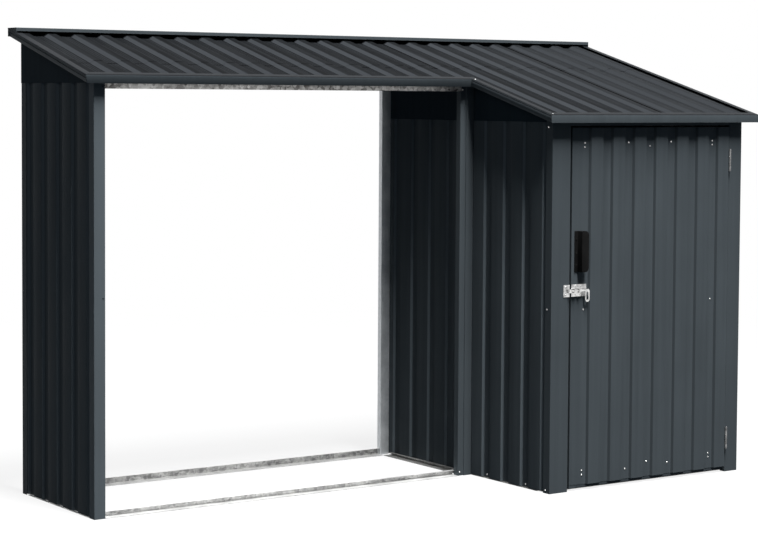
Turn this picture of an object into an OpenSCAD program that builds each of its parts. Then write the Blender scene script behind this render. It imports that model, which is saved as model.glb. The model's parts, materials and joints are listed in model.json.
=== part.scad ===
// Metal log store with a tool shed at its right end.
// An open log bay and a deeper shed share one ribbed sheet roof that falls to the front.
// Millimetres, +Z up, +X along the front, +Y to the back, origin on the ground under the roof's middle.

/* [Overall] */
// Width over the outer faces of the end walls
store_w = 2500; // [2000:10:3200]
// Width of the tool shed, from the partition's outer face to the right wall
shed_w = 922; // [800:1:1200]
// Depth of the log bay
log_d = 565; // [450:5:800]
// Depth of the tool shed
shed_d = 1035; // [900:5:1400]
// Height of the roof sheets' underside at the shed's front wall
eave_h = 1362; // [1345:1:1600]
// Fall of the roof to the front, in degrees
roof_fall = 15.2; // [10:0.1:20]

/* [Sheets] */
// Thickness of the wall, roof and door sheets
sheet_t = 0.8; // [0.5:0.1:1.2]
// Depth of the ribs on the walls and door
wall_rib_d = 10; // [6:0.5:14]
// Width of a wall rib's sloping side
wall_rib_side = 6.5; // [5:0.5:12]
// Width of the valley between two wall ribs
wall_valley = 36; // [25:1:45]
// Distance from rib to rib on the walls
wall_rib_pitch = 116; // [100:1:140]
// Distance from a wall sheet's front edge to its first rib
wall_rib_first = 50; // [20:1:90]
// Distance from rib to rib on the door
door_rib_pitch = 104; // [95:1:130]
// Distance from the door's left edge to its first rib
door_rib_first = 76; // [74:1:100]
// Height of the roof ribs
roof_rib_h = 11; // [8:0.5:16]
// Width of a roof rib's sloping side
roof_rib_side = 13; // [8:0.5:16]
// Width of the pan between two roof ribs
roof_pan = 46; // [35:1:55]
// Distance from rib to rib on the roof
roof_rib_pitch = 104; // [95:1:130]
// Distance from the roof's left edge to its first rib
roof_rib_first = 6; // [2:1:40]

/* [Frame] */
// Wall thickness of the rails, posts and trims
rail_t = 1.2; // [0.8:0.1:2]
// Height of a base rail
base_rail_h = 25; // [18:1:40]
// Height of the base rail at the log bay's front
low_rail_h = 18; // [14:1:40]
// Height of the base rail beside the log bay's partition
foot_rail_h = 10; // [8:1:25]
// Width of a base rail's bottom flange
base_rail_w = 40; // [32:1:50]
// Width of a base rail's top flange
base_rail_lip = 14; // [8:1:20]
// Height of a top rail
top_rail_h = 44; // [30:1:60]
// Depth of a top rail's flanges
top_rail_d = 25; // [18:1:30]
// Height of the rail over the door
header_h = 38; // [26:1:45]
// Width of a post's face
post_w = 42; // [40:1:60]
// Depth of a post's sides
post_d = 30; // [24:1:32]
// Width of the partition's front post
mid_post_w = 58; // [50:1:70]
// Width of the strip that is set back on the partition's front post
mid_post_strip = 24; // [12:1:30]
// How far that strip is set back
mid_post_step = 5; // [2:0.5:8]
// Depth of the partition's back post
back_post_d = 20; // [14:1:30]
// Depth of the cover flanges outside the wall sheets
cover_d = 36; // [30:1:50]
// Width of the jamb left of the door
jamb_left_w = 82; // [60:1:100]
// Width of the jamb right of the door
jamb_right_w = 63; // [50:1:90]
// Height of the wall sheets' lower edges above the ground
wall_lift = 4; // [2:1:8]
// Distance from the roof down to the wall sheets at their front end
wall_top_gap = 5; // [3:1:12]
// How far an end plate laps over the wall sheet below it
plate_lap = 20; // [12:1:40]

/* [Roof] */
// Overhang at both ends
roof_over_side = 50; // [30:1:90]
// Overhang at the front
roof_over_front = 39; // [28:1:60]
// Overhang at the back
roof_over_back = 3; // [3:1:40]
// Overhang of the shed's roof past the partition
roof_over_step = 41; // [15:1:60]
// How far the fascia hangs below the roof sheets
fascia_drop = 16; // [10:1:22]
// Width of the trims' flanges on the roof ribs
fascia_flange = 26; // [15:1:40]
// Depth of the level flange of the trim along the ridge
ridge_flange = 70; // [50:1:90]
// Height of the lip along that flange's front edge
ridge_lip = 12; // [6:0.5:12]
// Depth in plan of the log bay's lower roof sheet, from its eave to the upper sheets' edge
log_sheet_d = 186; // [120:1:320]
// How far the upper roof sheets lap over the lower ones
upper_lap = 30; // [20:1:60]
// Ribs on the left upper roof sheet
left_sheet_ribs = 15; // [10:1:15]
// Ribs on the two upper roof sheets left of the last one
middle_sheet_ribs = 21; // [19:1:23]
// Open line where two roof sheets meet side by side
sheet_seam = 2; // [0.5:0.1:4]

/* [Door] */
// Height of the door's lower edge above the ground
door_lift = 9; // [6:1:20]
// Gap between the door and the rail over it
door_gap_top = 7; // [5:1:12]
// Gap between the door and the left jamb
door_gap_latch = 12; // [10:1:14]
// Gap between the door and the right jamb
door_gap_hinge = 5; // [5:0.5:7]
// How far the door's ribs stand in front of the jambs
door_proud = 4; // [0:0.5:4.5]
// Height of the frame strip that shows below the door's sheet
door_strip = 12; // [5:1:25]
// Depth of the door's frame behind its sheet
door_frame_d = 15; // [10:1:20]
// Width of the door's frame members
door_frame_w = 34; // [25:1:50]
// Height of the door's middle frame member above the ground
door_mid_z = 645; // [400:1:900]

/* [Hinges] */
// Height of one hinge
hinge_h = 84; // [60:1:110]
// Height of the lower hinge's foot above the ground
hinge_low_z = 90; // [60:1:200]
// Height of the upper hinge's foot above the ground
hinge_high_z = 1150; // [900:1:1180]
// Radius of a hinge knuckle
knuckle_r = 4; // [3.5:0.25:5]
// Radius of a hinge pin
hinge_pin_r = 2; // [1.5:0.25:2.5]
// Running clearance of a hinge pin
pin_gap = 0.06; // [0.02:0.01:0.1]
// Gap between a knuckle and what turns past it
knuckle_gap = 0.5; // [0.3:0.1:1]
// Thickness of a hinge leaf
leaf_t = 1.5; // [1:0.1:1.8]
// Width of a hinge leaf, from the pin's line back along the edge
leaf_w = 20; // [16:1:22]

/* [Handle] */
// Height of the handle
handle_h = 148; // [110:1:180]
// Width of the handle
handle_w = 46; // [38:1:55]
// Depth of the handle's cup
handle_d = 28; // [22:1:29]
// Wall thickness of the handle
handle_t = 3; // [2:0.5:4]
// Width of the handle's screw flange
handle_flange = 14; // [10:1:18]
// Radius of the handle's corners
handle_r = 16; // [5:1:16]
// Distance from the door's edge to the handle
handle_inset = 13; // [8:1:18]
// Height of the handle's lower end above the ground
handle_z = 797; // [785:1:950]

/* [Bolt] */
// Height of the bolt's centre above the ground
bolt_z = 730; // [600:1:755]
// Radius of the bolt's rod
bolt_r = 5; // [4:0.25:6]
// How far the drawn bolt stands out of the door's edge
bolt_out = 8; // [2:1:9]
// Travel of the bolt
bolt_travel = 20; // [16:1:24]
// Clearance around the bolt's rod
bolt_gap = 0.4; // [0.2:0.05:0.8]
// Length of the bolt's backplate
bolt_plate_len = 70; // [68:1:72]
// Height of the bolt's backplate
bolt_plate_h = 44; // [32:1:50]
// Thickness of the bolt's plates and straps
bolt_plate_t = 1.5; // [1:0.1:2]
// Width of the straps around the bolt's rod
bolt_strap_w = 11; // [8:1:11]
// Width of the keeper's plate
keeper_w = 28; // [18:1:34]
// Width of the loop on the bolt's end
loop_w = 20; // [17:1:22]
// Height of the loop below the bolt's centre
loop_h = 42; // [30:1:46]
// Thickness of the loop's bar
loop_bar = 5; // [3:0.5:5]

/* [Hidden] */
$fn = 48;

// Gap between pieces that are screwed face to face
seat = 0.2;
paint = [0.17, 0.19, 0.2];
zinc = [0.72, 0.73, 0.74];
plastic = [0.05, 0.05, 0.05];

// Lines of the plan
x_left = -store_w / 2;
x_right = store_w / 2;
x_part = x_right - shed_w;
roof_depth = shed_d + roof_over_front + roof_over_back;
y_eave = -roof_depth / 2;
y_shed = y_eave + roof_over_front;
y_back = y_shed + shed_d;
y_log = y_back - log_d;
y_log_eave = y_log - roof_over_front;
y_ridge = y_back + roof_over_back;
y_cross = y_log_eave + log_sheet_d;
x_roof_left = x_left - roof_over_side;
x_roof_right = x_right + roof_over_side;
x_step = x_part - roof_over_step;
trim_out = seat + rail_t;

// The log bay between its posts, at the front and at the back
x_bay = x_left - rail_t + post_w + seat;
bay_front_len = x_part - 2 * seat - mid_post_w - x_bay;
bay_back_len = x_part - 2 * seat - post_w - x_bay;
// The shed between its wall sheets
x_room = x_part + wall_rib_d + seat;
room_w = shed_w - 2 * wall_rib_d - 2 * seat;
y_room_back = y_back - wall_rib_d - seat;
y_sill = y_shed + cover_d + base_rail_w;
// Rails beside the log bay and inside the shed
log_rail_y = y_log + base_rail_w + 2 * seat;
log_rail_len = log_d - 2 * base_rail_w - 4 * seat;
room_rail_len = y_room_back - base_rail_w - seat - y_sill;
room_top_len = y_room_back - y_shed - rail_t - seat;

// Heights
function under(y) = eave_h + (y - y_shed) * tan(roof_fall);
log_wall_top = under(y_log) - wall_top_gap;
shed_wall_top = under(y_shed) - wall_top_gap;
lap_rise = sheet_t + seat;
flange_z = (roof_rib_h + lap_rise) / cos(roof_fall) + seat;
ridge_top = under(y_ridge + trim_out) + flange_z + rail_t;

// Door, hinge and bolt lines
x_door_left = x_part + jamb_left_w + door_gap_latch;
x_jamb_right = x_right - jamb_right_w;
x_door_right = x_jamb_right - door_gap_hinge;
door_w = x_door_right - x_door_left;
door_top = under(y_shed) - seat - header_h - door_gap_top;
y_door = y_shed - door_proud;
y_valley = y_door + wall_rib_d - sheet_t;
y_frame = y_door + wall_rib_d + seat;
x_hinge = x_jamb_right - door_gap_hinge / 2;
y_hinge = y_door - knuckle_r - knuckle_gap;
knuckle_h = hinge_h / 3;
y_bolt = y_shed - seat - bolt_plate_t - bolt_gap - bolt_r;
bolt_x = x_door_left + seat;
bolt_hole = bolt_r + bolt_gap;
loop_x = bolt_x + bolt_plate_len - loop_w / 2 + bolt_r;
stop_gap = 1;

// Height of a row of ribs at a place x along it
function wave(x, pitch, first, top, side, d) =
    let(u = x - first - pitch * floor((x - first) / pitch))
    x < first ? 0 : max(0, min(d, d * u / side, d * (2 * side + top - u) / side));

// Line along a row of ribs from x0 to x1
function rib_line(x0, x1, pitch, first, top, side, d) = concat(
    [[x0, wave(x0, pitch, first, top, side, d)]],
    [for (i = [max(0, floor((x0 - first) / pitch)) : floor((x1 - first) / pitch)], k = [0 : 3])
        let(b = first + i * pitch + [0, side, side + top, top + 2 * side][k])
        if (b > x0 + 0.01 && b < x1 - 0.01) [b, [0, d, d, 0][k]]],
    [[x1, wave(x1, pitch, first, top, side, d)]]
);

// Section of a ribbed sheet of thickness sheet_t, ribs towards +Y
module rib_section(x0, x1, pitch, first, valley, side, d) {
    line = rib_line(x0, x1, pitch, first, pitch - valley - 2 * side, side, d - sheet_t);
    last = len(line) - 1;
    polygon(concat(
        [for (p = line) [p[0], p[1] + sheet_t]],
        [for (i = [last : -1 : 0]) line[i]]
    ));
}

// Ribbed wall sheet along +X, with its inner face at y = 0 and its ribs towards -Y
module wall_sheet(w, z0, z1, pitch = wall_rib_pitch, first = wall_rib_first) {
    translate([0, 0, z0])
        linear_extrude(z1 - z0)
            mirror([0, 1])
                rib_section(0, w, pitch, first, wall_valley, wall_rib_side, wall_rib_d);
}

// Ribbed roof sheet from y0 up to y1, raised by rise above the roof's underside
module roof_sheet(x0, x1, y0, y1, rise = 0) {
    front = y0 + roof_rib_h * sin(roof_fall);
    translate([x_roof_left, y1, under(y1)])
        rotate([90 + roof_fall, 0, 0])
            linear_extrude((y1 - front) / cos(roof_fall))
                translate([0, rise])
                    rib_section(x0 - x_roof_left, x1 - x_roof_left, roof_rib_pitch, roof_rib_first,
                        roof_pan, roof_rib_side, roof_rib_h);
}

// Section in the YZ plane, swept along +X from x0 to x1
module sweep_x(x0, x1, points) {
    translate([x0, 0, 0])
        rotate([90, 0, 90])
            linear_extrude(x1 - x0)
                polygon(points);
}

// Plate that follows the roof's fall from y0 to y1, between plumb offsets a and b from its underside
module fall_plate(x0, x1, y0, y1, a, b) {
    sweep_x(x0, x1, [
        [y0, under(y0) + a], [y1, under(y1) + a], [y1, under(y1) + b], [y0, under(y0) + b]
    ]);
}

// Plate that fills the wedge between a level lower edge and the roof
module gable_plate(x, y0, y1, z0) {
    sweep_x(x, x + sheet_t, [
        [y0, z0], [y1, z0], [y1, under(y1) - seat], [y0, under(y0) - seat]
    ]);
}

// Base rail along +X: a web at y = 0 with a wide bottom flange and a narrow top flange towards -Y
module base_rail(w, h = base_rail_h) {
    sweep_x(0, w, [
        [0, 0], [0, h], [-base_rail_lip, h], [-base_rail_lip, h - rail_t], [-rail_t, h - rail_t],
        [-rail_t, rail_t], [-base_rail_w, rail_t], [-base_rail_w, 0]
    ]);
}

// Base rail inside a wall, with a toe towards +Y below the wall sheet's ribs
module wall_base_rail(w) {
    base_rail(w);
    cube([w, wall_rib_d, rail_t]);
}

// Top rail along +X: a web at y = 0 with flanges towards +Y, hanging from z = 0
module top_rail(w, h = top_rail_h) {
    sweep_x(0, w, [
        [0, 0], [top_rail_d, 0], [top_rail_d, -rail_t], [rail_t, -rail_t], [rail_t, rail_t - h],
        [top_rail_d, rail_t - h], [top_rail_d, -h], [0, -h]
    ]);
}

// Channel post: a face w wide at y = 0, a side d1 deep at x = 0 and a side d2 deep at x = w
module channel_post(w, d1, d2, h) {
    linear_extrude(h)
        polygon([
            [0, 0], [w, 0], [w, d2], [w - rail_t, d2], [w - rail_t, rail_t],
            [rail_t, rail_t], [rail_t, d1], [0, d1]
        ]);
}

// Base rails

module base_rail_log_front() color(zinc)
    translate([x_bay, y_log + base_rail_w + seat, 0])
        base_rail(bay_front_len, low_rail_h);

module base_rail_log_back() color(zinc)
    translate([x_bay, y_back - seat, 0])
        base_rail(bay_back_len);

module base_rail_left() color(zinc)
    translate([x_left + wall_rib_d + seat, log_rail_y, 0])
        rotate(90)
            wall_base_rail(log_rail_len);

module base_rail_partition() color(zinc) {
    translate([x_part - seat, log_rail_y + log_rail_len, 0])
        rotate(-90)
            base_rail(log_rail_len, foot_rail_h);
    translate([x_room, y_sill, 0])
        rotate(90)
            wall_base_rail(room_rail_len);
}

module base_rail_right() color(zinc)
    translate([x_room + room_w, y_sill + room_rail_len, 0])
        rotate(-90)
            wall_base_rail(room_rail_len);

module base_rail_shed_front() color(zinc)
    translate([x_room, y_sill - seat, 0])
        base_rail(room_w);

module base_rail_shed_back() color(zinc)
    translate([x_room, y_room_back, 0])
        wall_base_rail(room_w);

// Top rails

module top_rail_log_front() color(zinc)
    translate([x_bay, y_log + seat, under(y_log) - seat])
        top_rail(bay_front_len);

module top_rail_log_back() color(zinc)
    translate([x_bay + bay_back_len, y_back - seat, under(y_back - top_rail_d - seat) - seat])
        rotate(180)
            top_rail(bay_back_len);

module top_rail_left() color(zinc)
    translate([x_left + wall_rib_d + seat, y_back - trim_out, log_wall_top])
        rotate(-90)
            top_rail(log_d - 2 * trim_out);

module top_rail_partition() color(zinc)
    translate([x_room, y_room_back, shed_wall_top])
        rotate(-90)
            top_rail(room_top_len);

module top_rail_right() color(zinc)
    translate([x_room + room_w, y_room_back - room_top_len, shed_wall_top])
        rotate(90)
            top_rail(room_top_len);

module door_header() color(paint)
    translate([x_part + jamb_left_w + seat, y_shed + seat, under(y_shed) - seat])
        top_rail(x_jamb_right - x_part - jamb_left_w - 2 * seat, header_h);

module top_rail_shed_back() color(zinc)
    translate([x_room + room_w, y_room_back, under(y_room_back - top_rail_d) - seat])
        rotate(180)
            top_rail(room_w);

// Posts, jambs and the corner trim

module post_left_front() color(paint)
    translate([x_left - rail_t, y_log, 0])
        channel_post(post_w, cover_d, post_d, under(y_log) - seat);

module post_left_back() color(paint)
    translate([x_left - rail_t, y_back, 0])
        mirror([0, 1, 0])
            channel_post(post_w, cover_d, post_d, under(y_back - cover_d) - seat);

// A channel whose face is set back along its left edge
module post_middle_front() color(paint)
    translate([x_part - seat - mid_post_w, y_log, 0])
        linear_extrude(under(y_log) - seat)
            polygon([
                [0, mid_post_step], [mid_post_strip, mid_post_step], [mid_post_strip, 0], [mid_post_w, 0],
                [mid_post_w, post_d], [mid_post_w - rail_t, post_d], [mid_post_w - rail_t, rail_t],
                [mid_post_strip + rail_t, rail_t], [mid_post_strip + rail_t, mid_post_step + rail_t],
                [rail_t, mid_post_step + rail_t], [rail_t, post_d], [0, post_d]
            ]);

module post_middle_back() color(zinc)
    translate([x_part - seat - post_w, y_back - back_post_d, 0])
        channel_post(post_w, back_post_d, back_post_d, under(y_back - back_post_d) - seat);

module jamb_left() color(paint)
    translate([x_part - rail_t, y_shed, 0])
        channel_post(jamb_left_w + rail_t, cover_d, top_rail_d, under(y_shed) - seat);

module jamb_right() color(paint)
    translate([x_right + rail_t, y_shed, 0])
        mirror([1, 0, 0])
            channel_post(jamb_right_w + rail_t, cover_d, top_rail_d, under(y_shed) - seat);

module corner_back_right() color(paint)
    translate([x_right + rail_t, y_back + rail_t, 0])
        rotate(180)
            linear_extrude(under(y_back - cover_d) - seat)
                polygon([
                    [0, 0], [cover_d, 0], [cover_d, rail_t],
                    [rail_t, rail_t], [rail_t, cover_d], [0, cover_d]
                ]);

// Walls, whose ribs count from the front or, on the back wall, from the right

module wall_left() color(paint)
    translate([x_left + wall_rib_d, y_log + trim_out, 0])
        mirror([0, 1, 0])
            rotate(-90)
                wall_sheet(log_d - 2 * trim_out, wall_lift, log_wall_top);

module wall_partition_front() color(paint)
    translate([x_part + wall_rib_d, y_shed + trim_out, 0])
        mirror([0, 1, 0])
            rotate(-90)
                wall_sheet(shed_d - log_d - trim_out - seat, wall_lift, shed_wall_top);

module wall_partition_back() color(paint)
    translate([x_part + wall_rib_d, y_log, 0])
        mirror([0, 1, 0])
            rotate(-90)
                wall_sheet(log_d - wall_rib_d - seat, wall_lift, shed_wall_top);

module wall_right() color(paint)
    translate([x_right - wall_rib_d, y_shed + trim_out, 0])
        rotate(90)
            wall_sheet(shed_d - wall_rib_d - trim_out - seat, wall_lift, shed_wall_top);

module wall_back() color(paint)
    translate([x_right, y_back - wall_rib_d, 0])
        rotate(180)
            wall_sheet(shed_w, wall_lift, under(y_back - wall_rib_d) - seat);

// End plates under the roof

module gable_left() color(paint)
    gable_plate(x_left - trim_out - sheet_t, y_log, y_back, log_wall_top - plate_lap);

module gable_partition() color(paint) {
    plate_x = x_part - seat - sheet_t;
    plate_z = shed_wall_top - plate_lap;
    gable_plate(plate_x, y_shed + cover_d + seat, y_log - seat, plate_z);
    gable_plate(plate_x, y_log + post_d + seat, y_back - back_post_d - seat, plate_z);
}

module gable_right() color(paint)
    gable_plate(x_right + trim_out, y_shed, y_back, shed_wall_top - plate_lap);

// Roof sheets, which part at the right foot of a rib

function seam_x(ribs) = x_roof_left + roof_rib_first + ribs * roof_rib_pitch - roof_pan + sheet_seam;
x_seam_left = seam_x(left_sheet_ribs);
x_seam_right = seam_x(middle_sheet_ribs);

module roof_upper_sheets() color(paint) {
    roof_sheet(x_roof_left, x_seam_left, y_cross, y_ridge, lap_rise);
    roof_sheet(x_seam_left + sheet_seam, x_seam_right, y_cross, y_ridge, lap_rise);
    roof_sheet(x_seam_right + sheet_seam, x_roof_right, y_cross, y_ridge, lap_rise);
}

module roof_log_sheet() color(paint)
    roof_sheet(x_roof_left, x_step - seat, y_log_eave, y_cross + upper_lap);

module roof_shed_sheets() color(paint) {
    roof_sheet(x_step, x_seam_right, y_eave, y_cross + upper_lap);
    roof_sheet(x_seam_right + sheet_seam, x_roof_right, y_eave, y_cross + upper_lap);
}

// Fascias: a plumb face outside the roof's edge and a flange on the ribs

// Fascia along a level edge at y, facing -Y, whose flange stops short of the side fascias' flanges
module level_fascia(x0, x1, flange_x0, flange_x1, y) {
    outer = y - trim_out;
    inner = y + fascia_flange;
    face = y - seat;
    sweep_x(x0, x1, [
        [outer, under(y) - fascia_drop], [face, under(y) - fascia_drop],
        [face, under(face) + flange_z + rail_t], [outer, under(outer) + flange_z + rail_t]
    ]);
    fall_plate(flange_x0, flange_x1, outer, inner, flange_z, flange_z + rail_t);
}

// Fascia along a sloping edge at x from y0 to y1: its face stands on the -X side where side is 1
module fall_fascia(x, y0, y1, flange_y0, flange_y1, side) {
    outer = x - side * trim_out;
    face = x - side * seat;
    inner = x + side * fascia_flange;
    fall_plate(min(outer, face), max(outer, face), y0, y1, -fascia_drop, flange_z + rail_t);
    fall_plate(min(outer, inner), max(outer, inner), flange_y0, flange_y1, flange_z, flange_z + rail_t);
}

flange_back_y = y_ridge - fascia_flange - seat;
flange_short = fascia_flange + seat;

module fascia_log_front() color(paint)
    level_fascia(x_roof_left, x_step - seat, x_roof_left + flange_short, x_step - seat, y_log_eave);

// Ear of the fascia at x that closes the end of the ridge trim
module ridge_ear(x, side) {
    outer = x - side * trim_out;
    face = x - side * seat;
    y0 = y_ridge - ridge_flange;
    y1 = y_ridge + trim_out;
    sweep_x(min(outer, face), max(outer, face), [
        [y0, under(y0) + flange_z], [y1, under(y1) + flange_z], [y1, ridge_top], [y0, ridge_top]
    ]);
}

module fascia_left() color(paint) {
    fall_fascia(x_roof_left, y_log_eave - trim_out, y_ridge + trim_out, y_log_eave, flange_back_y, 1);
    ridge_ear(x_roof_left, 1);
}

module fascia_shed_left() color(paint)
    fall_fascia(x_step, y_eave - trim_out, y_log_eave - trim_out - seat,
        y_eave, y_log_eave - trim_out - seat, 1);

module fascia_shed_front() color(paint)
    level_fascia(x_step, x_roof_right, x_step + flange_short, x_roof_right - flange_short, y_eave);

module fascia_right() color(paint) {
    fall_fascia(x_roof_right, y_eave - trim_out, y_ridge + trim_out, y_eave, flange_back_y, -1);
    ridge_ear(x_roof_right, -1);
}

// Trim along the ridge: a plumb face, a level flange and a lip that hangs in front of it
module trim_back() color(paint) {
    inner = y_ridge - ridge_flange;
    outer = y_ridge + trim_out;
    face = y_ridge + seat;
    sweep_x(x_roof_left, x_roof_right, [
        [outer, under(y_ridge) - fascia_drop], [outer, ridge_top], [inner, ridge_top],
        [inner, ridge_top - ridge_lip], [inner + rail_t, ridge_top - ridge_lip],
        [inner + rail_t, ridge_top - rail_t], [face, ridge_top - rail_t], [face, under(y_ridge) - fascia_drop]
    ]);
}

// Hinges, in three knuckles: the outer two on the jamb, the middle one on the door

// Leaf in the gap beside the door, from y0 back along the edge
module leaf(x, z, h, y0) {
    translate([x, y0, z])
        cube([leaf_t, y_hinge + leaf_w - y0, h]);
}

module knuckle(z, h, r) {
    translate([x_hinge, y_hinge, z])
        cylinder(h = h, r = r);
}

module jamb_leaf(z) {
    edge = x_jamb_right - leaf_t - seat / 2;
    for (k = [0, 2]) {
        knuckle(z + k * knuckle_h, knuckle_h, knuckle_r);
        leaf(edge, z + k * knuckle_h, knuckle_h, y_hinge);
    }
    knuckle(z, hinge_h, hinge_pin_r);
    leaf(edge, z, hinge_h, y_hinge + knuckle_r + knuckle_gap);
}

module door_leaf(z) {
    edge = x_door_right + seat / 2;
    middle_z = z + knuckle_h + seat;
    middle_h = knuckle_h - 2 * seat;
    difference() {
        union() {
            knuckle(middle_z, middle_h, knuckle_r);
            leaf(edge, middle_z, middle_h, y_hinge);
        }
        knuckle(z, hinge_h, hinge_pin_r + pin_gap);
    }
    leaf(edge, z, hinge_h, y_hinge + knuckle_r + knuckle_gap);
}

module hinge_jamb_leaves() color(zinc) {
    jamb_leaf(hinge_low_z);
    jamb_leaf(hinge_high_z);
}

module hinge_door_leaves() color(zinc) {
    door_leaf(hinge_low_z);
    door_leaf(hinge_high_z);
}

// Door

module door_sheet() color(paint)
    translate([x_door_left, y_door + wall_rib_d, 0])
        wall_sheet(door_w, door_lift + door_strip, door_top, door_rib_pitch, door_rib_first);

// Frame member along +X with its web against the door's sheet
module door_rail(x, z, w) {
    translate([x, y_frame, z])
        sweep_x(0, w, [
            [0, 0], [door_frame_d, 0], [door_frame_d, rail_t], [rail_t, rail_t],
            [rail_t, door_frame_w - rail_t], [door_frame_d, door_frame_w - rail_t],
            [door_frame_d, door_frame_w], [0, door_frame_w]
        ]);
}

module door_frame() color(paint) {
    for (x = [x_door_left, x_door_right - door_frame_w])
        translate([x, y_frame, door_lift])
            channel_post(door_frame_w, door_frame_d, door_frame_d, door_top - door_lift);
    for (z = [door_lift, door_mid_z, door_top - door_frame_w])
        door_rail(x_door_left + door_frame_w + seat, z, door_w - 2 * door_frame_w - 2 * seat);
}

// Handle: a screw flange and a cup that is open to the right

// Outline with round corners at its right
module round_right(w, h, r) {
    square([w - r, h]);
    translate([0, r])
        square([w, h - 2 * r]);
    for (z = [r, h - r])
        translate([w - r, z])
            circle(r);
}

// Outline raised from the door's valleys to depth d
module on_valley(x, z, d) {
    translate([x, y_valley - seat, z])
        rotate([90, 0, 0])
            linear_extrude(d)
                children();
}

module door_handle() color(plastic) {
    flange_x = x_door_left + handle_inset;
    cup_x = flange_x + handle_flange;
    cup_w = handle_w - handle_flange;
    corner_r = min(handle_r, cup_w / 2);
    on_valley(flange_x, handle_z, handle_t)
        square([handle_flange + handle_t, handle_h]);
    difference() {
        on_valley(cup_x, handle_z, handle_d)
            round_right(cup_w, handle_h, corner_r);
        on_valley(cup_x + handle_t, handle_z + handle_t, handle_d - handle_t)
            square([cup_w, handle_h - 2 * handle_t]);
    }
}

// Bolt

// Strap around the bolt's rod, from a plate whose back is at y
module bolt_strap(x, y) {
    outer = bolt_hole + bolt_plate_t;
    leg = y - y_bolt + outer;
    translate([x, y_bolt - outer, bolt_z - outer])
        cube([bolt_strap_w, bolt_plate_t, 2 * outer]);
    for (z = [bolt_z - outer, bolt_z + bolt_hole])
        translate([x, y_bolt - outer, z])
            cube([bolt_strap_w, leg, bolt_plate_t]);
}

// Plate for the bolt, w wide, with its back at y
module bolt_plate(x, y, w) {
    translate([x, y - bolt_plate_t, bolt_z - bolt_plate_h / 2])
        cube([w, bolt_plate_t, bolt_plate_h]);
}

module bolt_housing() color(zinc) {
    bolt_plate(bolt_x, y_valley - seat, bolt_plate_len);
    bolt_strap(bolt_x, y_valley - seat);
    bolt_strap(loop_x - loop_w / 2 - bolt_travel - stop_gap - bolt_strap_w, y_valley - seat);
}

module bolt_keeper() color(zinc) {
    keeper_x = x_part + jamb_left_w;
    bolt_plate(keeper_x - keeper_w, y_shed - seat, keeper_w);
    bolt_strap(keeper_x - bolt_strap_w, y_shed - seat);
}

// Outline with straight sides and round ends, from z = 0 up
module stadium(w, h) {
    translate([-w / 2, w / 2])
        square([w, h - w]);
    for (z = [w / 2, h - w / 2])
        translate([0, z])
            circle(w / 2);
}

module slide_bolt() color(zinc) {
    translate([x_door_left - bolt_out, y_bolt, bolt_z])
        rotate([0, 90, 0])
            cylinder(h = loop_x - x_door_left + bolt_out, r = bolt_r);
    translate([loop_x, y_bolt + loop_bar / 2, bolt_z - loop_h])
        rotate([90, 0, 0])
            linear_extrude(loop_bar)
                difference() {
                    stadium(loop_w, loop_h + bolt_r);
                    translate([0, loop_bar])
                        stadium(loop_w - 2 * loop_bar, loop_h - bolt_r - loop_bar);
                }
}

base_rail_log_front();
base_rail_log_back();
base_rail_left();
base_rail_partition();
base_rail_right();
base_rail_shed_front();
base_rail_shed_back();
top_rail_log_front();
top_rail_log_back();
top_rail_left();
top_rail_partition();
top_rail_right();
door_header();
top_rail_shed_back();
post_left_front();
post_left_back();
post_middle_front();
post_middle_back();
jamb_left();
jamb_right();
corner_back_right();
wall_left();
wall_partition_front();
wall_partition_back();
wall_right();
wall_back();
gable_left();
gable_partition();
gable_right();
roof_upper_sheets();
roof_log_sheet();
roof_shed_sheets();
fascia_log_front();
fascia_left();
fascia_shed_left();
fascia_shed_front();
fascia_right();
trim_back();
hinge_jamb_leaves();
bolt_keeper();
door_sheet();
door_frame();
door_handle();
hinge_door_leaves();
bolt_housing();
slide_bolt();
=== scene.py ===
"""Looks of a sheet-metal log store with a tool shed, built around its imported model. Metres."""

import json
import math

import bmesh
import bpy
from mathutils import Matrix, Vector


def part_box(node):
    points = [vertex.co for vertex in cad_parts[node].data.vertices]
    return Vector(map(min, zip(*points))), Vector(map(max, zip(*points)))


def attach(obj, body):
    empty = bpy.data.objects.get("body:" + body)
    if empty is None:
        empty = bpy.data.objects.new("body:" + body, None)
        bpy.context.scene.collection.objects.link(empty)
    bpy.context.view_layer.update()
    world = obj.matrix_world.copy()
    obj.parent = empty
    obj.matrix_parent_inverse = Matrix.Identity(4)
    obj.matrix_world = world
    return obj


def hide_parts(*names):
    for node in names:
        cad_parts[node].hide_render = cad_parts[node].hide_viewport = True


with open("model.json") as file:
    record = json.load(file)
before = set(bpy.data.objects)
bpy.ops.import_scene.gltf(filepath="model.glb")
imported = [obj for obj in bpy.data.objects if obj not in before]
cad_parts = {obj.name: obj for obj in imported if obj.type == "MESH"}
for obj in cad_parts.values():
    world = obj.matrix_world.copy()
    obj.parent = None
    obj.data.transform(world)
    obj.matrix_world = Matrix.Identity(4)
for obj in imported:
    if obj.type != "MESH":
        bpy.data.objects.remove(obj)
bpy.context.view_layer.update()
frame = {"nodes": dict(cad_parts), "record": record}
nodes = frame["nodes"]
record = frame["record"]
node_slot = {part["node"]: part["material_slot"] for part in record["subparts"]}
node_body = {node: body for body, members in record["behaviour"]["bodies"].items() for node in members}

# Roof: its fall, the height of its underside at the shed's front wall, and its sheets
ROOF_FALL = math.radians(15.2)
EAVE_HEIGHT = 1.362
SHED_FRONT_Y = -0.4995
ROOF_RIB_FOOT = -1.294
ROOF_RIB_PITCH = 0.104
ROOF_RIB_SIDE = 0.013
ROOF_PAN = 0.046
ROOF_RIBS = 24
LOG_RIBS = 15
SHEET_T = 0.0008
LAP_RISE = 0.001
CROSS_LAP_Y = 0.1175
FLANGE = 0.026
FLANGE_TOP = 0.0138
RIDGE_FLANGE = 0.07

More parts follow.
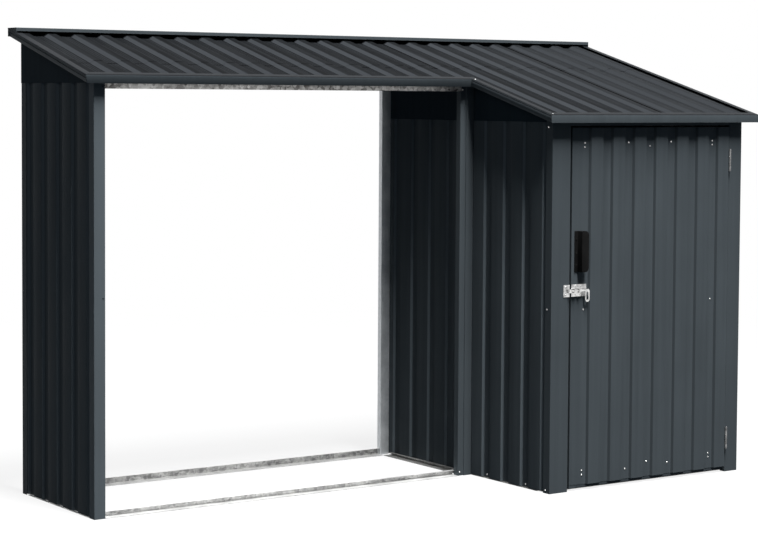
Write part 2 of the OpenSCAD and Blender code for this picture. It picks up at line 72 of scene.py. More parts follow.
# Door: middle of its first valley, spacing of the valleys and their face
DOOR_VALLEY_X = 0.480
DOOR_VALLEY_PITCH = 0.104
DOOR_VALLEY_Y = -0.4943

# Walls: spacing of the valleys from the front edge of a sheet
WALL_VALLEY_FIRST = 0.148
WALL_VALLEY_PITCH = 0.116
WALL_VALLEY_DEPTH = 0.0092

FRONT = Vector((0, -1, 0))
BACK = Vector((0, 1, 0))
LEFT = Vector((-1, 0, 0))
RIGHT = Vector((1, 0, 0))
UP = Vector((0, 0, 1))
ROOF_UP = Vector((0, -math.sin(ROOF_FALL), math.cos(ROOF_FALL)))


def under(y):
    """Height of the roof's underside at y."""
    return EAVE_HEIGHT + (y - SHED_FRONT_Y) * math.tan(ROOF_FALL)


# Camera, fitted to the corners of the object in the photograph
SENSOR = 36.0
CAMERA_PLACE = Vector((-4.4141, -6.3124, 1.4233))
CAMERA_YAW = math.radians(34.472)
CAMERA_PITCH = math.radians(3.086)
CAMERA_ROLL = math.radians(0.343)
CAMERA_LENS = 99.612
CAMERA_SHIFT = -0.0825


def make_camera():
    ahead = Vector((
        math.sin(CAMERA_YAW) * math.cos(CAMERA_PITCH),
        math.cos(CAMERA_YAW) * math.cos(CAMERA_PITCH),
        -math.sin(CAMERA_PITCH),
    ))
    level = Vector((math.cos(CAMERA_YAW), -math.sin(CAMERA_YAW), 0))
    upright = level.cross(ahead)
    across = level * math.cos(CAMERA_ROLL) + upright * math.sin(CAMERA_ROLL)
    up = upright * math.cos(CAMERA_ROLL) - level * math.sin(CAMERA_ROLL)
    data = bpy.data.cameras.new("camera")
    data.sensor_width = SENSOR
    data.lens = CAMERA_LENS
    data.shift_y = CAMERA_SHIFT
    camera = bpy.data.objects.new("camera", data)
    turn = Matrix((across, up, -ahead)).transposed().to_4x4()
    camera.matrix_world = Matrix.Translation(CAMERA_PLACE) @ turn
    bpy.context.scene.collection.objects.link(camera)
    bpy.context.scene.camera = camera


# Sockets of a mixing node that hold its factor, its two colours and the colour that it gives
MIX_FACTOR = 0
MIX_A = 6
MIX_B = 7
MIX_RESULT = 2


class Shader:
    """A material's node tree, with short calls for the nodes that the finishes share."""

    def __init__(self, name):
        self.material = bpy.data.materials.new(name)
        self.material.use_nodes = True
        self.tree = self.material.node_tree
        self.surface = self.tree.nodes["Principled BSDF"]

    def add(self, kind, links=None, **settings):
        made = self.tree.nodes.new(kind)
        for key, value in settings.items():
            setattr(made, key, value)
        for key, value in (links or {}).items():
            self.put(made.inputs[key], value)
        return made

    def put(self, socket, value):
        if isinstance(value, bpy.types.NodeSocket):
            self.tree.links.new(value, socket)
        else:
            socket.default_value = value

    def finish(self, **values):
        for key, value in values.items():
            self.put(self.surface.inputs[key.replace("_", " ")], value)
        return self.material

    def coordinates(self, stretch=(1, 1, 1)):
        place = self.add("ShaderNodeTexCoord").outputs["Object"]
        return self.add("ShaderNodeMapping", {"Vector": place, "Scale": stretch}).outputs["Vector"]

    def noise(self, scale, detail=3.0, stretch=(1, 1, 1)):
        links = {"Vector": self.coordinates(stretch), "Scale": scale, "Detail": detail}
        return self.add("ShaderNodeTexNoise", links).outputs["Fac"]

    def cells(self, scale):
        """A value of its own for each cell, as on spangled zinc."""
        links = {"Vector": self.coordinates(), "Scale": scale}
        colour = self.add("ShaderNodeTexVoronoi", links).outputs["Color"]
        return self.add("ShaderNodeSeparateColor", {"Color": colour}).outputs["Red"]

    def math(self, operation, a, b=0.0):
        made = self.add("ShaderNodeMath", operation=operation)
        self.put(made.inputs[0], a)
        self.put(made.inputs[1], b)
        return made.outputs[0]

    def span(self, value, low, high, to_low, to_high):
        links = {"Value": value, "From Min": low, "From Max": high, "To Min": to_low, "To Max": to_high}
        return self.add("ShaderNodeMapRange", links).outputs["Result"]

    def blend(self, factor, a, b, mode="MIX"):
        made = self.add("ShaderNodeMix", data_type="RGBA", blend_type=mode)
        self.put(made.inputs[MIX_FACTOR], factor)
        self.put(made.inputs[MIX_A], a)
        self.put(made.inputs[MIX_B], b)
        return made.outputs[MIX_RESULT]

    def bump(self, height, distance, strength=1.0):
        links = {"Height": height, "Distance": distance, "Strength": strength}
        return self.add("ShaderNodeBump", links).outputs["Normal"]


def toned(colour, factor):
    return tuple(part * factor for part in colour)


def shade_of(colour, factor):
    return toned(colour, factor) + (1.0,)


def grey(value):
    return (value, value, value, 1.0)


# Part of a face's normal at which it begins to count as turned to the front or the left for the painted
# light and shade, and fully does
TURN_START = -0.4
TURN_END = -0.75


def paint(name, colour, stretch, contrast=0.1, roughness=0.46, front_painted_light=1, left_painted_shade=1, specular=0.015):
    """Satin coating with faint streaks, with painted light on faces turned to the front and painted shade
    on faces turned to the left.
    """
    shader = Shader(name)
    clouds = shader.noise(3.1, 4.0)
    streaks = shader.noise(1.0, 4.0, stretch)
    grain = shader.noise(900.0, 2.0)
    tone = shader.math("ADD", shader.math("MULTIPLY", clouds, 0.5), shader.math("MULTIPLY", streaks, 0.5))
    factor = shader.span(tone, 0.35, 0.65, 0.0, 1.0)
    base = shader.blend(factor, shade_of(colour, 1 - contrast), shade_of(colour, 1 + contrast))
    # Painted light and shade: faces turned to the front or the left take a lighter or darker copy of the
    # colour
    for axis, painted_turn_tone in (("X", left_painted_shade), ("Y", front_painted_light)):
        if painted_turn_tone != 1:
            normal = shader.add("ShaderNodeTexCoord").outputs["Normal"]
            facing = shader.add("ShaderNodeSeparateXYZ", {"Vector": normal}).outputs[axis]
            turned = shader.span(facing, TURN_START, TURN_END, 0.0, 1.0)
            base = shader.blend(turned, base, shade_of(colour, painted_turn_tone))
    return shader.finish(
        Base_Color=base,
        Roughness=shader.span(clouds, 0.3, 0.7, roughness - 0.06, roughness + 0.06),
        Specular_IOR_Level=specular,
        Normal=shader.bump(grain, 0.0002, 0.35),
    )


def roof_coating(name, colour):
    """Coating of the roof with painted light and shade: a highlight on the ribs' left sides over darker
    tops, sides and pans, more even to the right, with streaks.
    """
    shader = Shader(name)
    x = shader.add("ShaderNodeSeparateXYZ", {"Vector": shader.coordinates()}).outputs["X"]
    pitches = shader.math("DIVIDE", shader.math("SUBTRACT", x, ROOF_RIB_FOOT), ROOF_RIB_PITCH)
    side = ROOF_RIB_SIDE / ROOF_RIB_PITCH
    pan = 1 - ROOF_PAN / ROOF_RIB_PITCH
    bands = shader.add("ShaderNodeValToRGB", {"Fac": shader.math("FRACT", pitches)})
    ramp = bands.color_ramp
    ramp.interpolation = "CONSTANT"
    # Painted light and shade: bands by the ribs, lightest on their left sides
    for position, factor in ((side, ROOF_TOP_TONE), (pan - side, ROOF_SIDE_TONE), (pan, ROOF_PAN_TONE)):
        ramp.elements.new(position).color = shade_of(colour, factor)
    ramp.elements[0].color = shade_of(colour, ROOF_LEFT_HIGHLIGHT)
    ramp.elements[-1].color = shade_of(colour, ROOF_PAN_TONE)
    # Painted light: towards the right end the bands give way to a lighter even tone
    even = shader.span(x, ROOF_EVEN_FROM, ROOF_EVEN_TO, 0.0, ROOF_EVEN)
    banded = shader.blend(even, bands.outputs["Color"], shade_of(colour, ROOF_EVEN_TONE))
    streaks = shader.noise(1.0, 5.0, ALONG_FALL)
    strength = shader.span(streaks, 0.35, 0.7, 0.0, 0.3)
    streaked = shader.blend(strength, banded, shade_of(colour, ROOF_STREAK_TONE))
    ends = shader.span(x, ROOF_DARK_X, ROOF_LIGHT_X, ROOF_DARK_END, 1.0)
    gain = shader.add("ShaderNodeCombineColor", {"Red": ends, "Green": ends, "Blue": ends}).outputs["Color"]
    clouds = shader.noise(5.0, 3.0)
    return shader.finish(
        Base_Color=shader.blend(1.0, streaked, gain, "MULTIPLY"),
        Roughness=shader.span(clouds, 0.3, 0.7, 0.42, 0.56),
        Specular_IOR_Level=0.002,
        Normal=shader.bump(streaks, 0.0006, 0.3),
    )


def galvanised(name, dark, light, metal=0.7, top_highlight=None):
    """Zinc-coated steel: spangle, cloudy patches and scuffs along the rail, with a painted highlight on
    upward faces.
    """
    shader = Shader(name)
    spangle = shader.cells(95.0)
    patches = shader.noise(17.0, 5.0)
    scuffs = shader.noise(60.0, 3.0, (0.25, 0.25, 1.0))
    cells = shader.math("MULTIPLY", spangle, 0.28)
    tone = shader.math("ADD", cells, shader.math("MULTIPLY", patches, 0.72))
    tone = shader.math("ADD", tone, shader.math("MULTIPLY", shader.math("SUBTRACT", scuffs, 0.5), 0.5))
    factor = shader.span(tone, 0.3, 0.7, 0.0, 1.0)
    base = shader.blend(factor, dark, light)
    # Painted highlight: upward faces take a paler colour
    if top_highlight:
        normal = shader.add("ShaderNodeTexCoord").outputs["Normal"]
        height = shader.add("ShaderNodeSeparateXYZ", {"Vector": normal}).outputs["Z"]
        base = shader.blend(shader.span(height, 0.5, 0.9, 0.0, 0.85), base, top_highlight)
    return shader.finish(
        Base_Color=base,
        Metallic=metal,
        Roughness=shader.span(patches, 0.3, 0.7, 0.36, 0.56),
        Normal=shader.bump(spangle, 0.0003, 0.3),
    )


def zinc_plate(name, dark, light):
    """Zinc on the door's hardware, with fine rubbing marks."""
    shader = Shader(name)
    rubs = shader.noise(240.0, 4.0, (0.15, 1, 1))
    clouds = shader.noise(60.0, 3.0)
    base = shader.blend(shader.span(clouds, 0.35, 0.65, 0.0, 1.0), dark, light)
    return shader.finish(
        Base_Color=base,
        Metallic=1.0,
        Roughness=shader.span(rubs, 0.3, 0.7, 0.2, 0.38),
        Normal=shader.bump(rubs, 0.0002, 0.25),
    )


def black_plastic(name):
    """Moulded plastic with a fine leather-like grain."""
    shader = Shader(name)
    grain = shader.noise(1400.0, 2.0)
    clouds = shader.noise(30.0, 3.0)
    base = shader.blend(shader.span(clouds, 0.3, 0.7, 0.0, 1.0), grey(0.004), grey(0.007))
    return shader.finish(
        Base_Color=base,
        Roughness=shader.span(clouds, 0.3, 0.7, 0.42, 0.55),
        Specular_IOR_Level=0.06,
        Normal=shader.bump(grain, 0.0002, 0.5),
    )


# Colours of the coating on walls and trims; on the roof, darkened as painted shade against the stronger
# light it gets from above; on its edges, darker still; and on the plates under it, dark as painted shade
ANTHRACITE = (0.066, 0.078, 0.086)
ROOF_ANTHRACITE = (0.0225, 0.0247, 0.0275)
ROOF_EDGE = toned(ROOF_ANTHRACITE, 0.8)
SHADED_END_PLATE = (0.02, 0.03, 0.038)

# Colour of the strips along the roof seams: black, as painted shadow
SEAM_SHADOW_BLACK = (0.003, 0.003, 0.003)

# Tones of the roof: a painted highlight on a rib's left side, painted shade on its top and right side and
# in the pans, and the tone of the streaks
ROOF_LEFT_HIGHLIGHT = 1.8
ROOF_TOP_TONE = 0.32
ROOF_SIDE_TONE = 0.25
ROOF_PAN_TONE = 0.28
ROOF_STREAK_TONE = 1.3

# The roof darkens to a share at its left end, and its painted bands of light and shade even out towards its
# right end, to a lighter even tone
ROOF_DARK_END = 0.9
ROOF_DARK_X = -0.3
ROOF_LIGHT_X = 1.1
ROOF_EVEN_FROM = 0.5
ROOF_EVEN_TO = 1.05
ROOF_EVEN = 0.6
ROOF_EVEN_TONE = 1.05

# Stretch of the streaks on upright sheets and along the roof's fall
UPRIGHT = (45, 45, 1.4)
ALONG_FALL = (45, 1.4, 5)

# Finishes by slot of the record
finishes = {
    "painted_sheet": paint("wall_paint", ANTHRACITE, UPRIGHT),
    "painted_trim": paint("trim_paint", toned(ANTHRACITE, 1.04), UPRIGHT, contrast=0.07, roughness=0.42),
    "galvanised": galvanised(
        "galvanised_steel", grey(0.2), (0.62, 0.62, 0.61, 1), top_highlight=(0.95, 0.95, 0.94, 1),
    ),
    "zinc_plate": zinc_plate("zinc_plate", grey(0.38), (0.78, 0.78, 0.77, 1)),
    "black_plastic": black_plastic("moulded_plastic"),
}

# Finishes of the pieces that differ from their slot
roof_paint = roof_coating("roof_paint", ROOF_ANTHRACITE)
flute_paint = paint("flute_paint", ROOF_EDGE, ALONG_FALL, contrast=0.3, roughness=0.45, specular=0.006)
# Painted shadow: the black of the strips along the roof seams
seam_shadow_paint = paint("seam_shadow_paint", SEAM_SHADOW_BLACK, ALONG_FALL, roughness=0.8, specular=0.0)
# Painted shade for the trims' upward faces
trim_top_shade_paint = paint("trim_top_shade_paint", ROOF_EDGE, UPRIGHT, roughness=0.45)
# Painted light: on the walls, rib sides turned to the front are lighter, a painted sheen
lit_side_paint = paint("wall_paint_lit_sides", ANTHRACITE, UPRIGHT, front_painted_light=1.7, specular=0.009)
# Painted shade: the door's sides turned to the left are darker
shaded_side_door_paint = paint("shaded_side_door_paint", toned(ANTHRACITE, 1.07), UPRIGHT, left_painted_shade=0.68)
# Painted shade: the gable plates under the roof are darker than the walls
shaded_gable_paint = paint("shaded_end_plate_paint", SHADED_END_PLATE, UPRIGHT, specular=0.004)
# Painted light: the left front post is lighter than the other trims
post_painted_light = paint("post_painted_light_paint", toned(ANTHRACITE, 1.45), UPRIGHT, contrast=0.06, roughness=0.42)
shaded_zinc = galvanised("shaded_steel", grey(0.06), (0.34, 0.34, 0.33, 1), top_highlight=(0.42, 0.42, 0.41, 1))
# Top rail of the log bay: brownish mottled stains, with a darker dark tone as painted shade under the roof
stained_shaded_zinc = galvanised("stained_shaded_steel", (0.09, 0.085, 0.08, 1), (0.72, 0.71, 0.69, 1), metal=0.6)
# Painted light: the back post's zinc is made pale so that it reads as lit in the bay's shade
post_zinc = galvanised("post_steel", (0.62, 0.645, 0.66, 1), (0.72, 0.745, 0.76, 1), metal=0.5)
bright_zinc = zinc_plate("bright_zinc", (0.55, 0.55, 0.54, 1), (0.85, 0.85, 0.84, 1))
dull_zinc = zinc_plate("dull_zinc", grey(0.12), grey(0.3))
own_finish = {
    "roof_upper_sheets": roof_paint,
    "roof_log_sheet": roof_paint,
    "roof_shed_sheets": roof_paint,
    "top_rail_log_front": stained_shaded_zinc,
    "post_middle_back": post_zinc,
    "post_left_front": post_painted_light,
    "wall_left": lit_side_paint,
    "door_sheet": shaded_side_door_paint,
    "wall_partition_front": lit_side_paint,
    "wall_partition_back": lit_side_paint,
    "gable_left": shaded_gable_paint,
    "gable_partition": shaded_gable_paint,
    "base_rail_partition": shaded_zinc,
    "slide_bolt": bright_zinc,
    "hinge_jamb_leaves": dull_zinc,
    "hinge_door_leaves": dull_zinc,
}


def finish_of(node):
    return own_finish.get(node, finishes[node_slot[node]])


# Angles above which an edge stays sharp in the shading, is a fold and is kept at all; distance of a weld
SHARP = math.radians(35)
LEAST_FOLD = math.radians(12)
FLAT = math.radians(0.5)
WELD = 1e-6


def make_piece(name, work, body, slot, *materials):
    """A named piece from a finished bmesh, riding on a body."""
    mesh = bpy.data.meshes.new(name)
    bmesh.ops.recalc_face_normals(work, faces=work.faces)
    work.to_mesh(mesh)
    work.free()
    for polygon in mesh.polygons:
        polygon.use_smooth = True
    mesh.set_sharp_from_angle(angle=SHARP)
    for material in materials:
        mesh.materials.append(material)
    made = bpy.data.objects.new(name, mesh)
    bpy.context.scene.collection.objects.link(made)
    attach(made, body)
    return made


def welded(node):
    """A bmesh of a node's shape, with whole flat faces."""
    work = bmesh.new()
    work.from_mesh(nodes[node].data)
    bmesh.ops.remove_doubles(work, verts=work.verts, dist=WELD)
    bmesh.ops.dissolve_limit(work, angle_limit=FLAT, verts=work.verts, edges=work.edges)
    return work


def face_width(face):
    """Width of a long face, also where it is bent to and fro."""
    return 2 * face.calc_area() / face.calc_perimeter()


def folds(work, least_width):
    """Edges where two faces at least so wide meet at an angle."""
    return [
        edge for edge in work.edges
        if len(edge.link_faces) == 2
        and edge.calc_face_angle(0.0) > LEAST_FOLD
        and min(face_width(face) for face in edge.link_faces) > least_width
    ]


def rounded_copy(node, radius, segments, least_width):
    """Replaces a node by its own shape with round folds, as bent sheet has."""
    work = welded(node)
    bmesh.ops.bevel(
        work, geom=folds(work, least_width), offset=radius, offset_type="OFFSET",
        segments=segments, profile=0.5, affect="EDGES", clamp_overlap=True,
    )
    made = make_piece(node + "_folded", work, node_body[node], node_slot[node], finish_of(node))
    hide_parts(node)


# Trims along the roof's edges: steel, fold, drop below the roof's underside and lip at the lower edge
TRIM_T = 0.0012
TRIM_FOLD = 0.005
TRIM_DROP = 0.016
TRIM_LIP = 0.006
TRIM_GAP = 0.0001
UPPER_FACE = 0.2
FOLD_STEPS = 4
FACE_STEPS = 8


def trim_skin(slope, top_lean, bottom_lean):
    """Outer line of a trim as (inward, up) points: flange, fold, bowed face and lip."""
    face_top = FLANGE_TOP - TRIM_FOLD
    radius = (face_top + TRIM_DROP) / (math.sin(top_lean) + math.sin(bottom_lean))
    middle = radius * math.sin(bottom_lean) - TRIM_DROP
    leans = [top_lean - (top_lean + bottom_lean) * k / FACE_STEPS for k in range(FACE_STEPS + 1)]
    face = [(radius * (1 - math.cos(lean)), middle + radius * math.sin(lean)) for lean in leans]
    fold_start = (TRIM_FOLD, FLANGE_TOP + slope * TRIM_FOLD)
    corner = (0.0, FLANGE_TOP)
    fold = []
    for k in range(FOLD_STEPS):
        t = k / FOLD_STEPS
        weights = ((1 - t) ** 2, 2 * t * (1 - t), t ** 2)
        fold.append(tuple(
            sum(weight * point[axis] for weight, point in zip(weights, (fold_start, corner, face[0])))
            for axis in range(2)
        ))
    flange_end = (FLANGE, FLANGE_TOP + slope * FLANGE)
    lip = (face[-1][0] + TRIM_LIP, -TRIM_DROP)
    return [flange_end] + fold + face + [lip]


def thick_outline(skin):
    """Closed outline of a sheet whose outer line is given."""
    inner = []
    for k, point in enumerate(skin):
        before = skin[max(k - 1, 0)]
        after = skin[min(k + 1, len(skin) - 1)]
        along = Vector((after[0] - before[0], after[1] - before[1])).normalized()
        inner.append((point[0] - along.y * TRIM_T, point[1] + along.x * TRIM_T))
    return skin + inner[::-1]


def close_prism(work, near, far):
    """Faces between two outlines with as many points, and over both ends."""
    for k in range(len(near)):
        after = (k + 1) % len(near)
        work.faces.new((near[k], near[after], far[after], far[k]))
    work.faces.new(near[::-1])
    work.faces.new(far)


def add_ear(work, x, outward):
    """The part of an end fascia that rises to the ridge trim's level top."""
    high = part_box("trim_back")[1]
    low_y = high.y - TRIM_T - RIDGE_FLANGE
    foot_z = under(low_y) + FLANGE_TOP - TRIM_T
    corners = [(low_y, high.z), (high.y, high.z), (high.y, high.z - TRIM_T), (low_y, foot_z)]
    near, far = (
        [work.verts.new((x - outward.x * inward, y, z)) for y, z in corners]
        for inward in (0.0, TRIM_T)
    )
    close_prism(work, near, far)


def edge_trim(node, start, end, outward, skin, mitres):
    """Replaces a fascia by a bowed one, mitred outwards (1) or inwards (-1) at its start and end."""
    work = bmesh.new()
    run = end - start
    step = run / Vector((run.x, run.y)).length
    ends = []
    for place, mitre in ((start, mitres[0]), (end, -mitres[1])):
        ends.append([
            work.verts.new(place - outward * inward + UP * rise + step * mitre * (inward + TRIM_GAP))
            for inward, rise in thick_outline(skin)
        ])
    close_prism(work, *ends)
    if node in RIDGE_ENDS:
        add_ear(work, start.x, outward)
    bmesh.ops.recalc_face_normals(work, faces=work.faces)
    # Painted shade: the trim's upward faces take the darker roof-edge colour instead of the trim's own
    # paint
    for face in work.faces:
        face.material_index = 1 if face.normal.z > UPPER_FACE else 0
    materials = (finish_of(node), trim_top_shade_paint)
    made = make_piece(node + "_folded", work, node_body[node], node_slot[node], *materials)
    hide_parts(node)


# How far a trim's face leans up at its top and down at its bottom
ROUND_FACE = (math.radians(15), math.radians(32))
TUCKED_FACE = (math.radians(-9), math.radians(23))
FLAT_FACE = (math.radians(3), math.radians(5))
RIDGE_ENDS = ("fascia_left", "fascia_right")


def make_trims():
    slope = math.tan(ROOF_FALL)
    step_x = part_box("fascia_shed_left")[0].x
    log_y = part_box("fascia_log_front")[0].y
    for node, leans, end_x, mitres in (
        ("fascia_log_front", TUCKED_FACE, step_x, (1, -1)),
        ("fascia_shed_front", FLAT_FACE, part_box("fascia_shed_front")[1].x, (1, 1)),
    ):
        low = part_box(node)[0]
        base = under(low.y)
        start = Vector((low.x, low.y, base))
        edge_trim(node, start, Vector((end_x, low.y, base)), FRONT, trim_skin(slope, *leans), mitres)
    for node, outward, leans, end_y, mitres in (
        ("fascia_left", LEFT, TUCKED_FACE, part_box("fascia_left")[1].y, (1, 0)),
        ("fascia_shed_left", LEFT, ROUND_FACE, log_y, (1, -1)),
        ("fascia_right", RIGHT, FLAT_FACE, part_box("fascia_right")[1].y, (1, 0)),
    ):
        low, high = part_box(node)
        x = low.x if outward is LEFT else high.x
        start = Vector((x, low.y, under(low.y)))
        edge_trim(node, start, Vector((x, end_y, under(end_y))), outward, trim_skin(0.0, *leans), mitres)


# Round folds: radius, segments and the least width of the faces that meet there
FOLD = (0.0016, 3, 0.003)
HARDWARE_EDGE = (0.0004, 2, 0.0)
HANDLE_EDGE = (0.0012, 3, 0.0)


def fold_of(node):
    if node_slot[node] == "zinc_plate":
        return HARDWARE_EDGE
    if node == "door_handle":
        return HANDLE_EDGE
    return FOLD


def round_the_folds():
    for node in nodes:
        if not node.startswith("fascia_"):
            rounded_copy(node, *fold_of(node))


# A screw head: rings from its foot to its middle, as shares of its radius and height
HEAD_SIDES = 24
HEAD_RINGS = [(1.0, 0.0), (1.0, 0.3), (0.84, 0.78), (0.58, 1.0)]
CROSS_ARM = 0.44
CROSS_WAIST = 0.15
CROSS_HALF_ANGLE = math.radians(16)
CROSS_FLOOR = 0.45
FLOOR_SHARE = 0.8

# Radius and height of the screw heads
SCREW = (0.0032, 0.0018)
BOLT_SCREW = (0.0031, 0.0016)
KEEPER_SCREW = (0.0036, 0.0018)
HANDLE_SCREW = (0.0036, 0.0016)


def cross_radius(angle):
    """Edge of a cross recess at an angle, as a share of the head's radius."""
    from_arm = abs((angle + math.pi / 4) % (math.pi / 2) - math.pi / 4)
    return CROSS_ARM if from_arm < CROSS_HALF_ANGLE else CROSS_WAIST


def add_screw(work, place, out, radius, height):
    side = out.orthogonal().normalized()
    other = out.cross(side)
    rings = []
    angles = [2 * math.pi * k / HEAD_SIDES for k in range(HEAD_SIDES)]
    turns = [side * math.cos(angle) + other * math.sin(angle) for angle in angles]
    shares = [[(share, rise)] * HEAD_SIDES for share, rise in HEAD_RINGS]
    shares.append([(cross_radius(angle), 1.0) for angle in angles])
    shares.append([(FLOOR_SHARE * cross_radius(angle), CROSS_FLOOR) for angle in angles])
    for ring in shares:
        rings.append([
            work.verts.new(place + turn * radius * share + out * height * rise)
            for turn, (share, rise) in zip(turns, ring)
        ])
    for lower, top_highlight in zip(rings, rings[1:]):
        for k in range(HEAD_SIDES):
            after = (k + 1) % HEAD_SIDES
            work.faces.new((lower[k], lower[after], top_highlight[after], top_highlight[k]))
    work.faces.new(rings[-1])
    work.faces.new(rings[0][::-1])


def screws(name, body, slot, material, places, head=SCREW):
    """One piece of screw heads, each at a place with its outward direction."""
    work = bmesh.new()
    for place, out in places:
        add_screw(work, Vector(place), out, *head)
    make_piece(name, work, body, slot, material)


# Heights of the door's screws, by the valley that they stand in
DOOR_SCREWS = {
    0: (0.055, 0.072, 0.659, 1.247, 1.262),
    2: (0.058, 1.262),
    3: (0.076, 1.249),
    4: (0.062, 1.264),
    6: (0.0635, 0.0785, 0.667, 1.251, 1.266),
}

# Screws of the walls and jambs: heights, and distances in from the edges
SCREW_FOOT_Z = 0.013
BACK_SCREW_DROP = 0.05
JAMB_SCREW_Z = (0.012, 0.665, 1.319)
JAMB_SCREW_IN = 0.012
WALL_SCREW_VALLEYS = (0, 2)
RIGHT_SCREW_VALLEYS = (0, 2, 4, 6)
BACK_SCREW_VALLEYS = (0, 2, 4)

# Screws of the posts and of the fascias' flanges
POST_STEP = 0.005
POST_SCREW_IN = 0.009
POST_SCREW_Z = (0.014, 1.452)
END_POST_SCREW_IN = 0.008
END_POST_SCREW_Z = (0.746, 1.452)
ROOF_SCREW_IN = 0.0095
ROOF_SCREW_BACK = 0.009
EAVE_SCREW_IN = 0.014
EAVE_SCREW_Y = -0.5305


def make_door_screws():
    screws("door_screws", "door", "zinc_plate", finishes["zinc_plate"], [
        ((DOOR_VALLEY_X + valley * DOOR_VALLEY_PITCH, DOOR_VALLEY_Y, z), FRONT)
        for valley, heights in DOOR_SCREWS.items() for z in heights
    ])


def make_wall_screws():
    left_low, left_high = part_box("jamb_left")
    right_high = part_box("jamb_right")[1]
    jamb_y = left_high.y - JAMB_SCREW_IN
    places = [((left_low.x, jamb_y, z), LEFT) for z in JAMB_SCREW_Z]
    places += [((right_high.x, jamb_y, z), RIGHT) for z in JAMB_SCREW_Z]
    for node, out, valleys in (
        ("wall_partition_front", LEFT, WALL_SCREW_VALLEYS),
        ("wall_right", RIGHT, RIGHT_SCREW_VALLEYS),
    ):
        low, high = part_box(node)
        x = low.x + WALL_VALLEY_DEPTH if out is LEFT else high.x - WALL_VALLEY_DEPTH
        for valley in valleys:
            y = low.y + WALL_VALLEY_FIRST + valley * WALL_VALLEY_PITCH
            places.append(((x, y, SCREW_FOOT_Z), out))
    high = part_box("wall_back")[1]
    for valley in BACK_SCREW_VALLEYS:
        x = high.x - WALL_VALLEY_FIRST - valley * WALL_VALLEY_PITCH
        for z in (SCREW_FOOT_Z, high.z - BACK_SCREW_DROP):
            places.append(((x, high.y - WALL_VALLEY_DEPTH, z), BACK))
    screws("wall_screws", "store", "zinc_plate", finishes["zinc_plate"], places)


def make_frame_screws():
    zinc = finishes["zinc_plate"]
    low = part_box("post_middle_front")[0]
    places = [((low.x + POST_SCREW_IN, low.y + POST_STEP, z), FRONT) for z in POST_SCREW_Z]
    screws("post_screws", "store", "zinc_plate", zinc, places)
    low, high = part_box("post_left_front")
    places = [((high.x - END_POST_SCREW_IN, low.y, z), FRONT) for z in END_POST_SCREW_Z]
    screws("end_post_screws", "store", "painted_trim", finishes["painted_trim"], places)
    low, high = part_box("fascia_shed_left")
    spots = [(low.x + ROOF_SCREW_IN, high.y - ROOF_SCREW_BACK), (low.x + EAVE_SCREW_IN, EAVE_SCREW_Y)]
    places = [((x, y, under(y) + FLANGE_TOP), ROOF_UP) for x, y in spots]
    screws("roof_screws", "store", "zinc_plate", zinc, places)


# Screws of the door's hardware: thickness below the heads, and distances in from the edges
PLATE_T = 0.0015
BOLT_SCREW_LEFT = 0.0174
BOLT_SCREW_RIGHT = 0.026
BOLT_SCREW_EDGE = 0.0055
KEEPER_SCREW_IN = 0.0085
KEEPER_SCREW_EDGE = 0.0075
HANDLE_FLANGE_T = 0.003
HANDLE_SCREW_IN = 0.0075
HANDLE_SCREW_RISE = (0.024, 0.068, 0.117)


def make_hardware_screws():
    zinc = finishes["zinc_plate"]
    low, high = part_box("bolt_housing")
    across = (low.x + BOLT_SCREW_LEFT, high.x - BOLT_SCREW_RIGHT)
    heights = (low.z + BOLT_SCREW_EDGE, high.z - BOLT_SCREW_EDGE)
    places = [((x, high.y - PLATE_T, z), FRONT) for x in across for z in heights]
    screws("bolt_screws", "door", "zinc_plate", zinc, places, BOLT_SCREW)
    low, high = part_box("bolt_keeper")
    heights = (low.z + KEEPER_SCREW_EDGE, high.z - KEEPER_SCREW_EDGE)
    places = [((low.x + KEEPER_SCREW_IN, high.y - PLATE_T, z), FRONT) for z in heights]
    screws("keeper_screws", "store", "zinc_plate", zinc, places, KEEPER_SCREW)
    low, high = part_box("door_handle")
    face_y = high.y - HANDLE_FLANGE_T
    places = [((low.x + HANDLE_SCREW_IN, face_y, low.z + rise), FRONT) for rise in HANDLE_SCREW_RISE]
    screws("handle_screws", "door", "black_plastic", finishes["black_plastic"], places, HANDLE_SCREW)


# Flutes along the roof's pans: how many, the width and height of one, and its start behind the cross lap
FLUTES = 3
FLUTE_WIDTH = 0.0034
FLUTE_HEIGHT = 0.0009
FLUTE_START = 0.004
FLUTE_SECTION = [(-0.5, 0.0), (-0.25, 0.75), (0.0, 1.0), (0.25, 0.75), (0.5, 0.0)]


def add_bead(work, x, span, rise, section, width, height):
    """A low round bead along the fall, on the pan of a sheet raised by rise."""
    lift = (SHEET_T + rise) / math.cos(ROOF_FALL)
    ends = []
    for y in span:
        foot = Vector((x, y, under(y) + lift))
        ends.append([
            work.verts.new(foot + RIGHT * width * across + ROOF_UP * height * up)
            for across, up in section
        ])
    close_prism(work, *ends)


def roof_flutes(name, ribs, y0, y1, rise):
    work = bmesh.new()
    for rib in ribs:
        pan_end = ROOF_RIB_FOOT + (rib + 1) * ROOF_RIB_PITCH
        for k in range(FLUTES):
            x = pan_end - ROOF_PAN * (k + 1) / (FLUTES + 1)
            add_bead(work, x, (y0, y1), rise, FLUTE_SECTION, FLUTE_WIDTH, FLUTE_HEIGHT)
    make_piece(name, work, "store", "painted_sheet", flute_paint)


# Black strips as painted shadow lines: in the pans beside the roof sheets' seams, and narrower ones over
# the open lines
STRIP_SECTION = [(-0.5, 0.0), (-0.3, 0.8), (0.0, 1.0), (0.3, 0.8), (0.5, 0.0)]
STRIP_X = (0.2615, 0.868)
STRIP_WIDTH = 0.009
SEAM_X = (0.223, 0.847)
SEAM_WIDTH = 0.006
STRIP_HEIGHT = 0.0012


